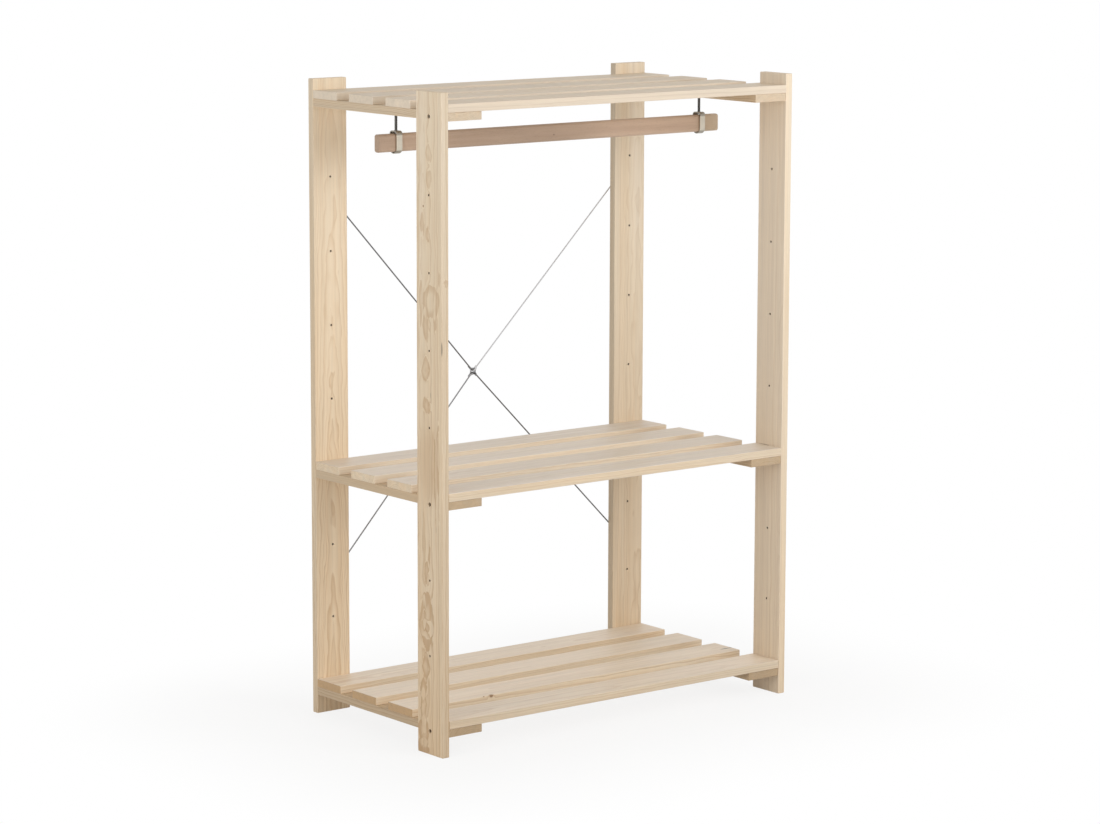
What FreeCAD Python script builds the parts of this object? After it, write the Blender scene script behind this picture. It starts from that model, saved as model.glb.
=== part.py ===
import FreeCAD, Part
import math
import os

Vector = FreeCAD.Vector

# Boards: posts, slats and battens are all sawn from one planed board
board_thickness = 22.0
board_width = 108.0
board_edge_radius = 1.6

# Shelves
slat_length = 1144.0
slat_gap = 56.0
slats_per_shelf = 4
batten_setback = 2.0

# Posts and their rows of holes
hole_pitch = 200.0
hole_count = 9
hole_end_distance = 63.0
hole_clearance = 0.25
middle_shelf_hole_count = 3
shelf_rows = {"bottom": 0, "middle": middle_shelf_hole_count, "top": hole_count - 1}

# Shelf screws, through a post into a batten
shelf_screw_diameter = 5.0
shelf_screw_bite = 42.0
shelf_screw_head_diameter = 11.0
shelf_screw_sink = 4.0

# Slat screws, up through a batten into a slat
slat_screw_diameter = 4.0
slat_screw_bite_share = 0.55
slat_screw_head_diameter = 8.0
slat_screw_sink = 0.4
slat_screw_step_share = 0.25

# Shares of a screw head that its rim and its cross recess take
head_rim_share = 0.06
recess_width_share = 0.16
recess_span_share = 0.58
recess_depth_share = 0.22

# Clothes rail
rail_overhang = 8.0
rail_height = 47.0
rail_thickness = 22.0
rail_edge_share = 0.32
rail_end_share = 0.14
rail_drop = 53.0

# Hanger loop, a steel strip bent round the rail
loop_strip_width = 18.0
loop_strip_thickness = 3.0
loop_strip_edge_radius = 0.6
loop_side_clearance = 2.5
loop_seat_clearance = 0.95
loop_corner_radius = 6.0

# Hanger rod with its shoulder, its neck in the loop and its headed end
rod_diameter = 8.0
rod_neck_share = 0.75
rod_head_share = 1.25
rod_head_height = 2.4
rod_head_clearance = 1.9
rod_swivel_play = 0.2
rod_tip_length = 2.0
rod_tip_chamfer_share = 0.1

# Hanger nut and washer, as shares of the rod that they fit
hanger_washer_share = 2.2
hanger_washer_thickness = 1.6
hanger_nut_width_share = 1.625
hanger_nut_height_share = 0.8

# Cross brace of four wires that meet in a ring
brace_wire_diameter = 4.0
brace_top_distance = 300.0
brace_floor_distance = 353.0
brace_ring_offset = -23.0
brace_ring_share = 2.0
brace_tail_length = 8.0
brace_screw_diameter = 4.5
brace_screw_bite_share = 0.7
brace_screw_head_share = 2.0
brace_screw_crown_share = 0.65
brace_washer_thickness = 1.2

# Clearances
bore_clearance = 0.1
thread_clearance = 0.05
seat_clearance = 0.1
link_clearance = 0.3
tip_clearance = 0.5
cut_overrun = 5.0

# Values that follow from the sizes above
shelf_depth = slats_per_shelf * board_width + (slats_per_shelf - 1) * slat_gap
half_length = slat_length / 2
batten_axis = half_length - board_width / 2
post_height = (hole_count - 1) * hole_pitch + 2 * hole_end_distance
back_face = shelf_depth + board_thickness
hole_diameter = shelf_screw_diameter + 2 * hole_clearance
shelf_screw_length = board_thickness - shelf_screw_sink + shelf_screw_bite
slat_screw_length = board_thickness * (1 + slat_screw_bite_share)

# Hangers and rail stand at the middle of the gap nearest to the middle of the shelf
hanger_depth = (slats_per_shelf // 2) * (board_width + slat_gap) - slat_gap / 2
top_batten_low = hole_end_distance + shelf_rows["top"] * hole_pitch - board_thickness / 2
top_batten_high = top_batten_low + board_thickness
rail_length = slat_length + 2 * rail_overhang
rail_edge_radius = rail_thickness * rail_edge_share
rail_end_radius = rail_thickness * rail_end_share
rail_top = top_batten_low - rail_drop
rail_low = rail_top - rail_height
rod_neck_diameter = rod_diameter * rod_neck_share
rod_head_diameter = rod_diameter * rod_head_share
loop_half_width = rail_thickness / 2 + loop_side_clearance
loop_inner_top = rail_top + rod_head_clearance + rod_head_height + rod_swivel_play
loop_outer_top = loop_inner_top + loop_strip_thickness

# Brace wires lie against the backs of the posts, under washers
wire_radius = brace_wire_diameter / 2
wire_plane = back_face + seat_clearance + wire_radius
brace_upper_height = post_height - brace_top_distance
brace_lower_height = brace_floor_distance
brace_ring_height = (brace_upper_height + brace_lower_height) / 2
brace_ring_radius = brace_wire_diameter * brace_ring_share
brace_ring_eye_radius = brace_wire_diameter + 2 * link_clearance
brace_post_eye_radius = brace_screw_diameter / 2 + link_clearance + wire_radius
brace_washer_seat = wire_plane + wire_radius + seat_clearance
brace_head_seat = brace_washer_seat + brace_washer_thickness + seat_clearance
brace_screw_head_diameter = brace_screw_diameter * brace_screw_head_share
brace_screw_head_height = brace_screw_diameter * brace_screw_crown_share
brace_screw_length = brace_head_seat - back_face + board_thickness * brace_screw_bite_share
brace_eye_back = wire_plane + brace_ring_eye_radius + wire_radius
overall_depth = max(brace_head_seat + brace_screw_head_height, brace_eye_back)

left, right = -1, 1
side_names = {left: "left", right: "right"}
to_origin = Vector(0, -overall_depth / 2, 0)


def save(name, *solids):
    """Write one node, moved so that the origin is under the middle of the frame."""
    shape = solids[0] if len(solids) == 1 else Part.makeCompound(list(solids))
    shape.translate(to_origin)
    shape.exportStep("parts/" + name + ".step")


def board(low, size):
    """A planed board with every edge eased."""
    box = Part.makeBox(size.x, size.y, size.z, low)
    return box.makeFillet(board_edge_radius, box.Edges)


def turned_to(shape, base, direction):
    """Place a shape drawn round +Z so that +Z points along direction."""
    turn = FreeCAD.Rotation(Vector(0, 0, 1), direction)
    shape.Placement = FreeCAD.Placement(base, turn)
    return shape


def drilling(base, direction, diameter, depth):
    """A cutter for a hole that goes in from base, against direction."""
    inward = direction * -1
    start = base - inward * cut_overrun
    return Part.makeCylinder(diameter / 2, depth + cut_overrun, start, inward)


def spun(points):
    """A solid turned from a closed outline of (radius, height) points."""
    corners = [Vector(radius, 0, height) for radius, height in points]
    outline = Part.Face(Part.makePolygon(corners + corners[:1]))
    return outline.revolve(Vector(0, 0, 0), Vector(0, 0, 1), 360)


def cross_recess(head_diameter):
    """A cutter for the cross in the top of a screw head, round +Z."""
    width = head_diameter * recess_width_share
    span = head_diameter * recess_span_share
    depth = head_diameter * recess_depth_share
    tall = depth + cut_overrun
    along = Part.makeBox(span, width, tall, Vector(-span / 2, -width / 2, -depth))
    across = Part.makeBox(width, span, tall, Vector(-width / 2, -span / 2, -depth))
    return along.fuse(across)


def countersunk_screw(diameter, length, head_diameter):
    """A wood screw along -Z, its flat head at the origin."""
    shank, head = diameter / 2, head_diameter / 2
    rim = head_diameter * head_rim_share
    neck = rim + head - shank
    points = [(0, 0), (head, 0), (head, -rim), (shank, -neck)]
    points += [(shank, -(length - diameter)), (0, -length)]
    return spun(points).cut(cross_recess(head_diameter))


def countersink(base, direction, diameter, head_diameter, sink):
    """A cutter for the seat of a countersunk head that lies sink below the face."""
    shank = diameter / 2
    head = head_diameter / 2 + bore_clearance
    rim = head_diameter * head_rim_share
    floor = -(sink + rim + bore_clearance)
    points = [(0, cut_overrun), (head, cut_overrun), (head, floor)]
    points += [(shank, floor - (head - shank)), (0, floor - (head - shank))]
    return turned_to(spun(points), base, direction)


def hole_height(row):
    """The height of one row of post holes above the floor."""
    return hole_end_distance + row * hole_pitch


def make_post(low, size, hole_x, hole_y, outward):
    """A post with its row of holes, sunk on the outer face where a shelf screw sits."""
    cutters = []
    for row in range(hole_count):
        mouth = Vector(hole_x, hole_y, hole_height(row))
        cutters.append(drilling(mouth, outward, hole_diameter, board_thickness + cut_overrun))
        if row in shelf_rows.values():
            seat = countersink(mouth, outward, hole_diameter, shelf_screw_head_diameter, shelf_screw_sink)
            cutters.append(seat)
    return board(low, size).cut(cutters)


def make_shelf_screws(mouth_x, mouth_y, outward):
    """The three screws that hold the shelves to one post."""
    screws = []
    screw = countersunk_screw(shelf_screw_diameter, shelf_screw_length, shelf_screw_head_diameter)
    for row in shelf_rows.values():
        head = Vector(mouth_x, mouth_y, hole_height(row)) - outward * shelf_screw_sink
        screws.append(turned_to(screw.copy(), head, outward))
    return screws


def slat_front(index):
    """The front edge of a slat, counted from the front of the shelf."""
    return index * (board_width + slat_gap)


def slat_screw_places(side, index):
    """Two places, set diagonally on the crossing of a slat and a batten."""
    middle = Vector(side * batten_axis, slat_front(index) + board_width / 2, 0)
    step = board_width * slat_screw_step_share
    return [middle + Vector(side * sign * step, -sign * step, 0) for sign in (-1, 1)]


def make_slat(index, low):
    """One slat with blind pilot holes for its screws, from below."""
    corner = Vector(-half_length, slat_front(index), low)
    slat = board(corner, Vector(slat_length, board_width, board_thickness))
    depth = slat_screw_sink + slat_screw_length - board_thickness + tip_clearance
    diameter = slat_screw_diameter + 2 * bore_clearance
    cutters = []
    for side in (left, right):
        for place in slat_screw_places(side, index):
            mouth = place + Vector(0, 0, low)
            cutters.append(drilling(mouth, Vector(0, 0, -1), diameter, depth))
    return slat.cut(cutters)


def make_batten(side, row):
    """One batten, bored for its shelf screws and slat screws, and for a hanger under the top shelf."""
    height = hole_height(row)
    low = height - board_thickness / 2
    outer = side * half_length
    corner = Vector(min(outer, outer - side * board_width), batten_setback, low)
    batten = board(corner, Vector(board_width, shelf_depth - batten_setback, board_thickness))
    depth = shelf_screw_length + shelf_screw_sink - board_thickness + tip_clearance
    diameter = shelf_screw_diameter + 2 * bore_clearance
    front_mouth = Vector(outer, board_width / 2, height)
    back_mouth = Vector(side * batten_axis, shelf_depth, height)
    cutters = [drilling(front_mouth, Vector(side, 0, 0), diameter, depth),
               drilling(back_mouth, Vector(0, 1, 0), diameter, depth)]
    down = Vector(0, 0, -1)
    screw_hole = slat_screw_diameter + 2 * bore_clearance
    for index in range(slats_per_shelf):
        for place in slat_screw_places(side, index):
            mouth = place + Vector(0, 0, low)
            cutters.append(drilling(mouth, down, screw_hole, board_thickness + cut_overrun))
            cutters.append(countersink(mouth, down, screw_hole, slat_screw_head_diameter, slat_screw_sink))
    if row == shelf_rows["top"]:
        mouth = Vector(side * batten_axis, hanger_depth, low)
        rod_hole = rod_diameter + 2 * bore_clearance
        cutters.append(drilling(mouth, down, rod_hole, board_thickness + cut_overrun))
    return batten.cut(cutters)


def make_slat_screws(row):
    """Every screw that holds the slats of one shelf, heads down."""
    screws = []
    down = Vector(0, 0, -1)
    head = Vector(0, 0, hole_height(row) - board_thickness / 2 + slat_screw_sink)
    screw = countersunk_screw(slat_screw_diameter, slat_screw_length, slat_screw_head_diameter)
    for side in (left, right):
        for index in range(slats_per_shelf):
            for place in slat_screw_places(side, index):
                screws.append(turned_to(screw.copy(), place + head, down))
    return screws


def make_clothes_rail():
    """A flat bar with round edges, hung at mid-depth under the top shelf."""
    low = Vector(-rail_length / 2, hanger_depth - rail_thickness / 2, rail_low)
    bar = Part.makeBox(rail_length, rail_thickness, rail_height, low)
    long_edges = [edge for edge in bar.Edges if math.isclose(edge.Length, rail_length)]
    bar = bar.makeFillet(rail_edge_radius, long_edges)
    end_faces = [face for face in bar.Faces if math.isclose(abs(face.CenterOfMass.x), rail_length / 2)]
    end_edges = [edge for face in end_faces for edge in face.Edges]
    return bar.makeFillet(rail_end_radius, end_edges)


def loop_bend_height():
    """The centre of the loop's round bottom, so that the rail's lower edges sit just clear of it."""
    reach = loop_half_width - rail_edge_radius - loop_seat_clearance
    across = rail_thickness / 2 - rail_edge_radius
    return rail_low + rail_edge_radius + math.sqrt(reach ** 2 - across ** 2)


def loop_outline(half_width, top, corner_radius):
    """A closed wire across the rail: flat top, bent corners, straight sides, half-round bottom."""
    bend = loop_bend_height()
    flat = half_width - corner_radius
    side_top = top - corner_radius
    diagonal = corner_radius * math.sqrt(0.5)

    def at(across, height):
        return Vector(0, hanger_depth + across, height)

    def arc(start, middle, end):
        return Part.Arc(at(*start), at(*middle), at(*end)).toShape()

    def line(start, end):
        return Part.LineSegment(at(*start), at(*end)).toShape()

    back_corner = (flat + diagonal, side_top + diagonal)
    front_corner = (-flat - diagonal, side_top + diagonal)
    return Part.Wire([
        line((-flat, top), (flat, top)),
        arc((flat, top), back_corner, (half_width, side_top)),
        line((half_width, side_top), (half_width, bend)),
        arc((half_width, bend), (0, bend - half_width), (-half_width, bend)),
        line((-half_width, bend), (-half_width, side_top)),
        arc((-half_width, side_top), front_corner, (-flat, top)),
    ])


def make_hanger_loop(side):
    """A bent strip that carries the rail, with a hole for the rod's neck."""
    outer_radius = loop_corner_radius + loop_strip_thickness
    outer_half = loop_half_width + loop_strip_thickness
    outer = Part.Face(loop_outline(outer_half, loop_outer_top, outer_radius))
    inner = Part.Face(loop_outline(loop_half_width, loop_inner_top, loop_corner_radius))
    strip = outer.cut(inner).extrude(Vector(loop_strip_width, 0, 0))
    middle = loop_strip_width / 2
    rims = [edge for edge in strip.Edges if math.isclose(abs(edge.CenterOfMass.x - middle), middle)]
    strip = strip.makeFillet(loop_strip_edge_radius, rims)
    strip.translate(Vector(side * batten_axis - loop_strip_width / 2, 0, 0))
    neck_hole = rod_neck_diameter + 2 * thread_clearance
    mouth = Vector(side * batten_axis, hanger_depth, loop_outer_top)
    return strip.cut(drilling(mouth, Vector(0, 0, 1), neck_hole, loop_strip_thickness + cut_overrun))


def make_hanger_rod(side):
    """A rod through the top batten, shouldered on the loop and headed inside it."""
    radius, neck, head = rod_diameter / 2, rod_neck_diameter / 2, rod_head_diameter / 2
    nut_height = rod_diameter * hanger_nut_height_share
    tip = top_batten_high + hanger_washer_thickness + nut_height + rod_tip_length
    chamfer = rod_diameter * rod_tip_chamfer_share
    shoulder = loop_outer_top + rod_swivel_play
    head_top = loop_inner_top - rod_swivel_play
    head_low = head_top - rod_head_height
    points = [(0, head_low), (neck, head_low), (head, head_top - rod_head_height / 2), (head, head_top)]
    points += [(neck, head_top), (neck, shoulder), (radius, shoulder)]
    points += [(radius, tip - chamfer), (radius - chamfer, tip), (0, tip)]
    rod = spun(points)
    rod.translate(Vector(side * batten_axis, hanger_depth, 0))
    return rod


def make_hanger_washer(side):
    """A flat washer on top of the batten."""
    base = Vector(side * batten_axis, hanger_depth, top_batten_high)
    radius = rod_diameter * hanger_washer_share / 2
    disc = Part.makeCylinder(radius, hanger_washer_thickness, base)
    bore = rod_diameter + 2 * bore_clearance
    return disc.cut(drilling(base, Vector(0, 0, -1), bore, hanger_washer_thickness + cut_overrun))


def make_hanger_nut(side):
    """A six-sided nut with its corners turned down, on the washer."""
    base = Vector(side * batten_axis, hanger_depth, top_batten_high + hanger_washer_thickness)
    flat = rod_diameter * hanger_nut_width_share / 2
    height = rod_diameter * hanger_nut_height_share
    corner = flat / math.cos(math.radians(30))
    turns = [math.radians(60 * step) for step in range(6)]
    corners = [Vector(corner * math.cos(turn), corner * math.sin(turn), 0) for turn in turns]
    block = Part.Face(Part.makePolygon(corners + corners[:1])).extrude(Vector(0, 0, height))
    turned_down = corner - flat
    points = [(0, 0), (flat, 0), (corner, turned_down), (corner, height - turned_down)]
    points += [(flat, height), (0, height)]
    nut = block.common(spun(points))
    nut.translate(base)
    bore = rod_diameter + 2 * thread_clearance
    return nut.cut(drilling(base, Vector(0, 0, -1), bore, height + cut_overrun))


def brace_corner(side, height):
    """Where a wire's outer eye lies on the back of a post."""
    return Vector(side * batten_axis, wire_plane, height)


def make_tail(eye_height):
    """The end of a wire, bent round an eye and back along the stem, which runs down from there."""
    reach = brace_wire_diameter + link_clearance / 2
    start = Vector(reach, 0, eye_height - math.sqrt(brace_ring_eye_radius ** 2 - reach ** 2))
    tip = start - Vector(0, 0, brace_tail_length)
    return [Part.makeCylinder(wire_radius, brace_tail_length, tip), Part.makeSphere(wire_radius, tip)]


def make_brace_wire(side, height):
    """A wire from the back of a post to the ring, drawn up +Z, with an eye at each end and a turned-back tail."""
    corner = brace_corner(side, height)
    to_ring = Vector(brace_ring_offset, wire_plane, brace_ring_height) - corner
    eye_offset = brace_ring_radius + brace_ring_eye_radius - brace_wire_diameter - link_clearance
    eye_height = to_ring.Length - eye_offset
    first = Vector(0, 0, brace_post_eye_radius)
    stem_length = eye_height - brace_ring_eye_radius - brace_post_eye_radius
    stem = Part.makeCylinder(wire_radius, stem_length, first)
    post_eye = Part.makeTorus(brace_post_eye_radius, wire_radius, Vector(0, 0, 0), Vector(1, 0, 0))
    ring_eye = Part.makeTorus(brace_ring_eye_radius, wire_radius, Vector(0, 0, eye_height), Vector(0, 1, 0))
    wire = stem.fuse([post_eye, ring_eye] + make_tail(eye_height))
    turn = FreeCAD.Rotation(Vector(0, 1, 0), Vector(), to_ring, "ZXY")
    wire.Placement = FreeCAD.Placement(corner, turn)
    return wire


def make_brace_ring():
    """The plain ring in the middle of the brace."""
    centre = Vector(brace_ring_offset, wire_plane, brace_ring_height)
    return Part.makeTorus(brace_ring_radius, wire_radius, centre, Vector(0, 1, 0))


def brace_corners():
    """The four corners of the brace, as a side and a height."""
    return [(side, height) for side in (left, right) for height in (brace_lower_height, brace_upper_height)]


def make_brace_screw(side, height):
    """A round-headed screw through a washer and an eye into the back of a post."""
    shank, head = brace_screw_diameter / 2, brace_screw_head_diameter / 2
    crown = brace_screw_head_height / 2
    points = [(0, brace_screw_head_height), (head / 2, brace_screw_head_height), (head, crown), (head, 0)]
    points += [(shank, 0), (shank, -(brace_screw_length - brace_screw_diameter)), (0, -brace_screw_length)]
    recess = cross_recess(brace_screw_head_diameter)
    recess.translate(Vector(0, 0, brace_screw_head_height))
    screw = spun(points).cut(recess)
    return turned_to(screw, Vector(side * batten_axis, brace_head_seat, height), Vector(0, 1, 0))


def make_brace_washer(side, height):
    """A washer between an eye and the head of its screw."""
    base = Vector(side * batten_axis, brace_washer_seat, height)
    outward = Vector(0, 1, 0)
    radius = brace_post_eye_radius + wire_radius
    disc = Part.makeCylinder(radius, brace_washer_thickness, base, outward)
    bore = brace_screw_diameter + 2 * bore_clearance
    return disc.cut(drilling(base + outward * brace_washer_thickness, outward, bore,
                             brace_washer_thickness + cut_overrun))


def make_back_post(side):
    """A back post, with pilot holes for its two brace screws."""
    outer = side * half_length
    low = Vector(min(outer, outer - side * board_width), shelf_depth, 0)
    outward = Vector(0, 1, 0)
    size = Vector(board_width, board_thickness, post_height)
    post = make_post(low, size, side * batten_axis, back_face, outward)
    depth = brace_screw_length - (brace_head_seat - back_face) + tip_clearance
    diameter = brace_screw_diameter + 2 * bore_clearance
    for height in (brace_lower_height, brace_upper_height):
        mouth = Vector(side * batten_axis, back_face, height)
        post = post.cut(drilling(mouth, outward, diameter, depth))
    return post


def make_front_post(side):
    """A front post, standing outside the ends of the slats."""
    inner = side * half_length
    low = Vector(min(inner, inner + side * board_thickness), 0, 0)
    size = Vector(board_thickness, board_width, post_height)
    outer = side * (half_length + board_thickness)
    return make_post(low, size, outer, board_width / 2, Vector(side, 0, 0))


os.makedirs("parts", exist_ok=True)

# Posts and the screws that hold the shelves to them
for side, side_name in side_names.items():
    outer_face = side * (half_length + board_thickness)
    save("front_" + side_name + "_post", make_front_post(side))
    save("back_" + side_name + "_post", make_back_post(side))
    front_screws = make_shelf_screws(outer_face, board_width / 2, Vector(side, 0, 0))
    back_screws = make_shelf_screws(side * batten_axis, back_face, Vector(0, 1, 0))
    save("front_" + side_name + "_shelf_screws", *front_screws)
    save("back_" + side_name + "_shelf_screws", *back_screws)

# Shelves
for shelf_name, row in shelf_rows.items():
    slat_low = hole_height(row) + board_thickness / 2
    for index in range(slats_per_shelf):
        save(shelf_name + "_shelf_slat_" + str(index + 1), make_slat(index, slat_low))
    for side, side_name in side_names.items():
        save(shelf_name + "_shelf_" + side_name + "_batten", make_batten(side, row))
    save(shelf_name + "_shelf_slat_screws", *make_slat_screws(row))

# Clothes rail and its hangers
save("clothes_rail", make_clothes_rail())
for side, side_name in side_names.items():
    save(side_name + "_hanger_rod", make_hanger_rod(side))
    save(side_name + "_hanger_loop", make_hanger_loop(side))
    save(side_name + "_hanger_washer", make_hanger_washer(side))
    save(side_name + "_hanger_nut", make_hanger_nut(side))

# Cross brace
level_names = {brace_lower_height: "lower", brace_upper_height: "upper"}
for side, height in brace_corners():
    save(level_names[height] + "_" + side_names[side] + "_brace_wire", make_brace_wire(side, height))
save("brace_ring", make_brace_ring())
save("brace_screws", *[make_brace_screw(side, height) for side, height in brace_corners()])
save("brace_washers", *[make_brace_washer(side, height) for side, height in brace_corners()])
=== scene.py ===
"""An open wardrobe frame of pine boards, with a clothes rail in steel loops and a wire cross brace."""

import math
import random
from dataclasses import dataclass

import bmesh
import bpy
from mathutils import Matrix, Vector


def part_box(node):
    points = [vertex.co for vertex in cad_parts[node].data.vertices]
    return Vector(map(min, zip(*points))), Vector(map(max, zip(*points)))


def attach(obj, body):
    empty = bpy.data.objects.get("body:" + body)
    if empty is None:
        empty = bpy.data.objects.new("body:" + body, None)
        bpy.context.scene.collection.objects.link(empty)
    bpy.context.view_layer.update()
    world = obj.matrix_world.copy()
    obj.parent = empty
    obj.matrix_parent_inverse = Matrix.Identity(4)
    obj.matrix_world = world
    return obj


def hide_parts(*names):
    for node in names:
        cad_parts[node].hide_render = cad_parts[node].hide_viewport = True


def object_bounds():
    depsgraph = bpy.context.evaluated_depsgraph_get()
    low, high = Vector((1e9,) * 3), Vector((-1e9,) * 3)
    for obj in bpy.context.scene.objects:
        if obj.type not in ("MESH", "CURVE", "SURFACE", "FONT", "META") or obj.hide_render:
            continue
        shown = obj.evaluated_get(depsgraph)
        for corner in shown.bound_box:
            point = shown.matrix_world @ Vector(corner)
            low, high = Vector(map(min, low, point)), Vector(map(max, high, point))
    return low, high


bl_info = {
    "name": "Open frame wardrobe",
    "version": (1, 0, 0),
    "blender": (4, 5, 0),
    "location": "View3D > Sidebar > Wardrobe",
    "description": "Dresses the boards, rail, hangers and brace of an open wardrobe frame and sets its stage",
    "category": "Object",
}

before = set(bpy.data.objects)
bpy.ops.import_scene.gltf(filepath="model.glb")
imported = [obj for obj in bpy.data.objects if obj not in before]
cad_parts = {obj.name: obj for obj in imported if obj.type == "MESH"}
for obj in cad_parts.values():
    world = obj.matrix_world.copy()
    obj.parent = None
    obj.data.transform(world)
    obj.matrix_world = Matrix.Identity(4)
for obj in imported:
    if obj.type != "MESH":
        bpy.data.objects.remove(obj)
cad_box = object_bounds()
sides = ("left", "right")


# Shader arithmetic

class Value:
    """A number that changes over a surface; arithmetic on it adds Math nodes."""

    def __init__(self, nodes, socket):
        self.nodes = nodes
        self.socket = socket

    def __add__(self, other):
        return self.nodes.maths("ADD", self, other)

    def __radd__(self, other):
        return self.nodes.maths("ADD", other, self)

    def __sub__(self, other):
        return self.nodes.maths("SUBTRACT", self, other)

    def __rsub__(self, other):
        return self.nodes.maths("SUBTRACT", other, self)

    def __mul__(self, other):
        return self.nodes.maths("MULTIPLY", self, other)

    def __rmul__(self, other):
        return self.nodes.maths("MULTIPLY", other, self)

    def __truediv__(self, other):
        return self.nodes.maths("DIVIDE", self, other)

    def __rtruediv__(self, other):
        return self.nodes.maths("DIVIDE", other, self)

    def __abs__(self):
        return self.nodes.maths("ABSOLUTE", self)

    def floor(self):
        return self.nodes.maths("FLOOR", self)

    def fraction(self):
        return self.nodes.maths("FRACT", self)

    def root(self):
        return self.nodes.maths("SQRT", self)

    def slope(self, low, high, start, end):
        """start below low, end above high and smooth between them."""
        sockets = {"Value": self, "From Min": low, "From Max": high, "To Min": start, "To Max": end}
        return self.nodes.node("ShaderNodeMapRange", {"interpolation_type": "SMOOTHSTEP"}, sockets)

    def rise(self, low, high):
        """0 below low, 1 above high and smooth between them."""
        return self.slope(low, high, 0.0, 1.0)

    def fall(self, low, high):
        """1 below low, 0 above high and smooth between them."""
        return self.slope(low, high, 1.0, 0.0)


def distance(first, *others):
    """The length of a line from how far it reaches along each axis."""
    square = first * first
    for other in others:
        square = square + other * other
    return square.root()


class Nodes:
    """The nodes of a material or of the world."""

    def __init__(self, tree):
        self.tree = tree

    def fill(self, made, sockets):
        """Give the sockets of a node their values or links."""
        for key, value in sockets.items():
            if isinstance(value, Value):
                self.tree.links.new(value.socket, made.inputs[key])
            else:
                made.inputs[key].default_value = value

    def set_stops(self, elements, stops):
        """Set a ramp's stops. It starts with two, so the first two given are its ends."""
        for index, (position, level) in enumerate(stops):
            stop = elements[index] if index < 2 else elements.new(position)
            stop.position = position
            stop.color = (level, level, level, 1.0)

    def node(self, kind, settings, sockets, output=0):
        """Add a node: its settings first, then the values or links of its sockets."""
        made = self.tree.nodes.new(kind)
        for name, value in settings.items():
            if name == "stops":
                self.set_stops(made.color_ramp.elements, value)
            else:
                setattr(made, name, value)
        self.fill(made, sockets)
        return Value(self, made.outputs[output])

    def maths(self, operation, *values):
        return self.node("ShaderNodeMath", {"operation": operation}, dict(enumerate(values)))

    def place(self):
        """The three object coordinates of a spot, in metres."""
        spot = self.node("ShaderNodeTexCoord", {}, {}, "Object")
        return [self.node("ShaderNodeSeparateXYZ", {}, {0: spot}, axis) for axis in range(3)]

    def vector(self, x, y, z):
        return self.node("ShaderNodeCombineXYZ", {}, {0: x, 1: y, 2: z})

    def noise(self, vector, waves, offset, detail, roughness=0.5):
        """Noise round 0, from -0.5 to 0.5, with this many waves in a metre along each axis of the vector."""
        settings = {"operation": "MULTIPLY_ADD"}
        spot = self.node("ShaderNodeVectorMath", settings, {0: vector, 1: waves, 2: offset})
        sockets = {"Vector": spot, "Scale": 1.0, "Detail": detail, "Roughness": roughness}
        return self.node("ShaderNodeTexNoise", {}, sockets) - 0.5

    def mix(self, share, first, second):
        return self.node("ShaderNodeMix", {"data_type": "RGBA"}, {0: share, 6: first, 7: second}, 2)

    def shade(self, colour, level):
        """A colour made lighter or darker."""
        return self.node("ShaderNodeVectorMath", {"operation": "SCALE"}, {0: colour, "Scale": level})

    def ramp(self, value, stops):
        return self.node("ShaderNodeValToRGB", {"stops": stops}, {0: value})


class Paint(Nodes):
    """One material and the nodes that it is mixed from."""

    def __init__(self, name):
        self.material = bpy.data.materials.new(name)
        self.material.use_nodes = True
        super().__init__(self.material.node_tree)
        self.shader = self.tree.nodes["Principled BSDF"]

    def finish(self, sockets, bump=None):
        """Set the shader's sockets, and a bump from its height, strength and distance."""
        self.fill(self.shader, sockets)
        if bump:
            self.fill(self.shader, {"Normal": self.node("ShaderNodeBump", {}, bump)})
        return self.material


def rgba(colour):
    return (*colour, 1.0)


def dress(node, material):
    """Give a CAD node one material."""
    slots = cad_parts[node].data.materials
    slots.clear()
    slots.append(material)


# Wood

class Board:
    """How a board lies: its middle, its half sizes, and the axes that run along, across and through it."""

    def __init__(self, node):
        low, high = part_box(node)
        half = (high - low) / 2
        self.middle = (low + high) / 2
        self.axes = sorted(range(3), key=lambda axis: -half[axis])
        self.half_length, self.half_width, self.half_thickness = (half[axis] for axis in self.axes)


@dataclass
class Figure:
    """How a board was cut from its log, what grew in it, and the shade, light and sheen painted on it. Places
    and lengths are in metres.
    """

    seed: float

    # Where the heart of the log lies, across and through from the middle of the board, and how far it moves
    # over each metre along
    heart: tuple = (0.01, 0.06)
    lean: tuple = (0.0, 0.01)

    # How far swells and waves bend the rings, and how far apart the rings are
    swell: float = 0.010
    wave: float = 0.004
    spacing: float = 0.0045

    # How strongly the rings show, how much stronger they get towards the low end, and how strongly bands show
    contrast: float = 0.6
    fade: float = 0.0
    bands: float = 0.0

    # How bright and how golden the board is, and how much warmer and darker it gets towards its low end; that
    # drift is painted shade for light that falls off downwards
    tone: float = 1.0
    warm: float = 0.2
    drift: float = 0.0

    # How dark the ends and the narrow edges are, or how pale below 0, and how grey the broad faces are.
    # Besides the darker end grain, this darkness and paleness is painted shade and painted light set face by
    # face, and the grey is a painted sheen
    end_shade: float = 0.1
    edge_shade: float = 0.0
    grey: float = 0.0

    # Each knot is along, across, through and radius
    knots: tuple = ()

    # Each flame is a place where the rings rise to a hill in the face, and shows as a contour: along, across,
    # half length, half width and height, which fills it with brown near 0.5 and leaves it pale inside near 1
    flames: tuple = ()

    # Each stain is along, across, half length, half width and how brown it is
    stains: tuple = ()

    # Each crack is along, across, through, half length, half width and how dark it is
    cracks: tuple = ()


class Holes:
    """The row of holes up a post, and how far grime spreads from the edge of each, in metres."""

    first = 0.063
    pitch = 0.2
    radius = 0.00275
    grime = (0.0001, 0.0012)
    grime_share = 0.5


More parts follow.
